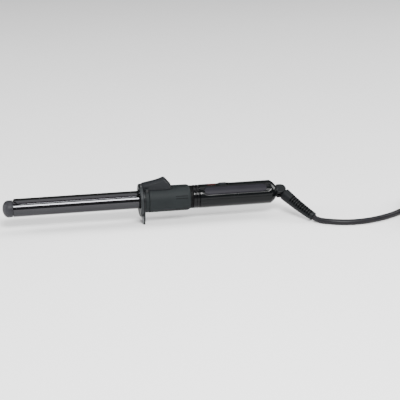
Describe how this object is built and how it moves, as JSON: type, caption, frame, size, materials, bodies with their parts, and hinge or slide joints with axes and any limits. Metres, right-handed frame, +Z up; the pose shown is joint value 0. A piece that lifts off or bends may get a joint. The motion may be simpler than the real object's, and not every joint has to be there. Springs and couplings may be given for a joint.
{
  "type": "curling iron",
  "caption": "Curling iron with a round barrel, a sprung clip with a thumb lever, a stand foot, a turning barrel unit and a swivelling mains lead.",
  "frame": {"origin": "middle of the stand foot's bottom edge, on the surface the iron stands on", "axes": "+X along the barrel from the cool tip to the cord, +Z up on the thumb lever's side, -Y towards the side the cord leans to"},
  "size_m": [0.5628, 0.0975, 0.0528],
  "materials": {
    "dark_metal": "gloss",
    "heatproof_plastic": "matte",
    "ceramic": "matte",
    "aluminium": "satin",
    "guard_plastic": "matte",
    "foot_metal": "satin",
    "steel": "satin",
    "blackened_steel": "satin",
    "soft_grip": "matte",
    "bearing_plastic": "satin",
    "handle_gloss": "gloss",
    "panel_satin": "satin",
    "lens_red": "gloss",
    "board_green": "satin",
    "relief_rubber": "matte",
    "cord_sheath": "satin",
    "tie_fabric": "matte",
    "plug_plastic": "satin",
    "pin_metal": "polished"
  },
  "bodies": {
    "barrel_unit": {"barrel_tube": "dark_metal", "tip_cap": "heatproof_plastic", "heater_plate": "ceramic", "heat_spreader_upper": "aluminium", "heat_spreader_lower": "aluminium", "barrel_holder": "heatproof_plastic", "flange": "guard_plastic", "stand_foot": "foot_metal", "collar": "guard_plastic", "lever_pin": "blackened_steel", "lever_spring": "steel", "grip_sleeve": "soft_grip", "turning_bush": "bearing_plastic", "bush_screw": "blackened_steel"},
    "clip_unit": {"clip": "dark_metal", "thumb_lever": "guard_plastic", "clip_rivet_front": "steel", "clip_rivet_rear": "steel"},
    "handle": {"spindle": "bearing_plastic", "spindle_clip": "steel", "neck_ring": "handle_gloss", "handle_upper": "handle_gloss", "handle_lower": "handle_gloss", "side_panel_near": "panel_satin", "side_panel_far": "panel_satin", "handle_screw": "blackened_steel", "indicator_lens": "lens_red", "indicator_led": "lens_red", "circuit_board": "board_green", "switch_housing": "heatproof_plastic"},
    "switch_knob": {"power_switch": "guard_plastic"},
    "swivel": {"swivel_neck": "guard_plastic", "relief_pin": "blackened_steel"},
    "lead": {"strain_relief": "relief_rubber", "cord": "cord_sheath", "cord_coil": "cord_sheath", "cord_tail": "cord_sheath", "cord_tie": "tie_fabric", "plug_body": "plug_plastic", "plug_pin_line": "pin_metal", "plug_pin_neutral": "pin_metal"}
  },
  "joints": [
    {"name": "clip_lever", "type": "hinge", "parent": "barrel_unit", "child": "clip_unit", "pos_m": [0.0033, 0, 0.0404], "axis": [0, 1, 0], "range_deg": [0, 16], "stiffness_Nm_per_rad": 0.5, "springref_deg": -28.65, "deforming": ["lever_spring"]},
    {"name": "handle_turn", "type": "hinge", "parent": "barrel_unit", "child": "handle", "pos_m": [0.0564, 0, 0.027], "axis": [1, 0, 0], "range_deg": [-180, 180]},
    {"name": "power_slide", "type": "slide", "parent": "handle", "child": "switch_knob", "axis": [1, 0, 0], "range_m": [0, 0.003]},
    {"name": "cord_swivel", "type": "hinge", "parent": "handle", "child": "swivel", "pos_m": [0.1568, 0, 0.027], "axis": [1, 0, 0], "continuous": true},
    {"name": "relief_tilt", "type": "hinge", "parent": "swivel", "child": "lead", "pos_m": [0.1595, 0, 0.027], "axis": [0, 0.5225, -0.8526], "range_deg": [-106, 0]}
  ]
}
